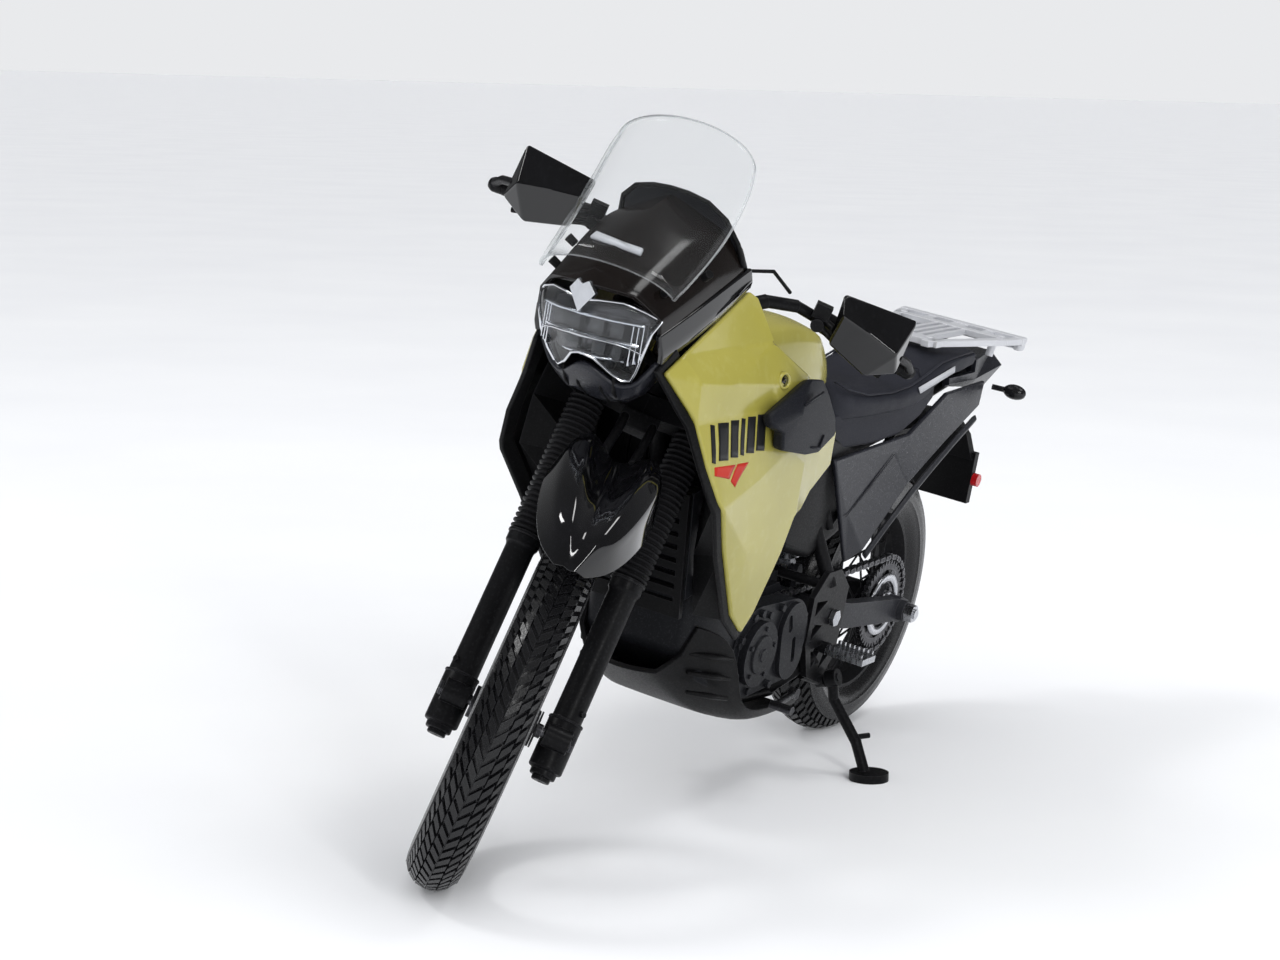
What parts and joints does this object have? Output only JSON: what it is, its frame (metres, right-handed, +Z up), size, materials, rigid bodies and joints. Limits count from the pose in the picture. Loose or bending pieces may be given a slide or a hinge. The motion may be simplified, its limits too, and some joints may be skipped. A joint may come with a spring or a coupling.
{
  "type": "scale model motorcycle",
  "caption": "Scale model of a dual-sport motorcycle leaning on its side stand, with turning fork and bars, spinning wheels, a sprung swing arm and a folding stand.",
  "frame": {"origin": "centre of the side-stand foot's sole, on the ground plane that both tyres and the foot rest on", "axes": "+X forward along the bike's length, +Y to the bike's left, +Z up from the ground; the bike leans 10 degrees to its left on the stand, and the fork is turned 29 degrees to the left"},
  "size_m": [0.1906, 0.0672, 0.1189],
  "materials": {
    "frame_black": "satin black paint",
    "engine_grey": "satin dark grey paint over cast texture",
    "dark_steel": "dark machined steel",
    "bright_steel": "bright machined steel",
    "arm_grey": "satin dark grey paint",
    "khaki_gloss": "gloss khaki yellow, black on the inner face and along the edges",
    "pad_grey": "fine-grained matte dark grey",
    "trim_black": "satin black moulded plastic",
    "gloss_black": "deep gloss black",
    "cover_charcoal": "semi-gloss charcoal",
    "clear_lens": "clear moulded lens",
    "clear_screen": "clear thin screen",
    "reflector": "bright plated",
    "vinyl": "matte dark grey vinyl",
    "rack_silver": "satin silver",
    "red_lens": "gloss red lens",
    "signal_smoke": "smoked gloss plastic",
    "soft_rubber": "matte black rubber",
    "tyre_rubber": "black, slightly glossy block tread",
    "rim_black": "satin black rim and spokes"
  },
  "bodies": {
    "chassis": {"main_frame": "frame_black", "subframe": "frame_black", "engine_crankcase": "engine_grey", "engine_cylinder": "engine_grey", "engine_cover_left": "engine_grey", "engine_cover_right": "engine_grey", "front_sprocket": "dark_steel", "exhaust_header": "dark_steel", "muffler": "frame_black", "skid_plate": "trim_black", "radiator": "engine_grey", "inner_panels": "trim_black", "fuel_tank": "khaki_gloss", "fuel_cap": "dark_steel", "shroud_left": "khaki_gloss", "shroud_right": "khaki_gloss", "shroud_pad_left": "pad_grey", "shroud_pad_right": "pad_grey", "nose_cowl": "gloss_black", "headlight_housing": "trim_black", "headlight_reflector": "reflector", "headlight_lens": "clear_lens", "windscreen": "clear_screen", "instrument_panel": "trim_black", "seat": "vinyl", "side_cover_left": "cover_charcoal", "side_cover_right": "cover_charcoal", "tail_cowl": "cover_charcoal", "rear_fender": "trim_black", "rear_rack": "rack_silver", "tail_light": "red_lens", "turn_signals": "signal_smoke", "rider_pegs": "bright_steel", "shift_lever": "dark_steel", "brake_pedal": "dark_steel", "swingarm_bolt": "bright_steel"},
    "fork": {"lower_clamp": "frame_black", "upper_clamp": "frame_black", "fork_tubes": "dark_steel", "fork_leg_left": "frame_black", "fork_leg_right": "frame_black", "fork_gaiters": "soft_rubber", "front_fender": "gloss_black", "front_axle": "dark_steel", "handlebar": "frame_black", "grips": "soft_rubber", "hand_levers": "frame_black", "handguards": "gloss_black"},
    "front_wheel": {"front_tyre": "tyre_rubber", "front_rim": "rim_black"},
    "swingarm": {"swingarm": "arm_grey", "rear_axle": "bright_steel", "drive_chain": "dark_steel"},
    "rear_wheel": {"rear_tyre": "tyre_rubber", "rear_rim": "rim_black"},
    "shock_upper": {"shock_body": "frame_black", "shock_spring": "bright_steel"},
    "shock_lower": {"shock_rod": "bright_steel"},
    "side_stand": {"side_stand": "frame_black"}
  },
  "joints": [
    {"name": "steering", "type": "hinge", "parent": "chassis", "child": "fork", "pos_m": [0.06239, -0.01352, 0.07182], "axis": [-0.4933, 0.1504, 0.8567], "range_deg": [-64, 6]},
    {"name": "front_wheel_spin", "type": "hinge", "parent": "fork", "child": "front_wheel", "pos_m": [0.09402, -0.01919, 0.02709], "axis": [-0.4229, 0.8192, -0.3873], "continuous": true},
    {"name": "swingarm_travel", "type": "hinge", "parent": "chassis", "child": "swingarm", "pos_m": [0.00075, -0.02074, 0.03132], "axis": [-0.0014, 0.9848, -0.1736], "range_deg": [-3, 5]},
    {"name": "rear_wheel_spin", "type": "hinge", "parent": "swingarm", "child": "rear_wheel", "pos_m": [-0.03391, -0.02158, 0.02687], "axis": [-0.0014, 0.9848, -0.1736], "continuous": true},
    {"name": "shock_tilt", "type": "hinge", "parent": "chassis", "child": "shock_upper", "pos_m": [0.00446, -0.01588, 0.05887], "axis": [-0.0014, 0.9848, -0.1736], "range_deg": [-0.9, 0.6]},
    {"name": "shock_slide", "type": "slide", "parent": "shock_upper", "child": "shock_lower", "axis": [0.3235, 0.1647, 0.9318], "range_m": [-0.0003, 0.0005], "deforming": ["shock_spring"]},
    {"name": "side_stand_fold", "type": "hinge", "parent": "chassis", "child": "side_stand", "pos_m": [-0.00086, -0.00868, 0.01743], "axis": [0.002, 0.9659, 0.2588], "range_deg": [0, 86]}
  ],
  "couplings": [
    {"joint": "shock_tilt", "follows": "swingarm_travel", "ratio": -0.172},
    {"joint": "shock_slide", "follows": "swingarm_travel", "m_per_rad": 0.005445}
  ]
}
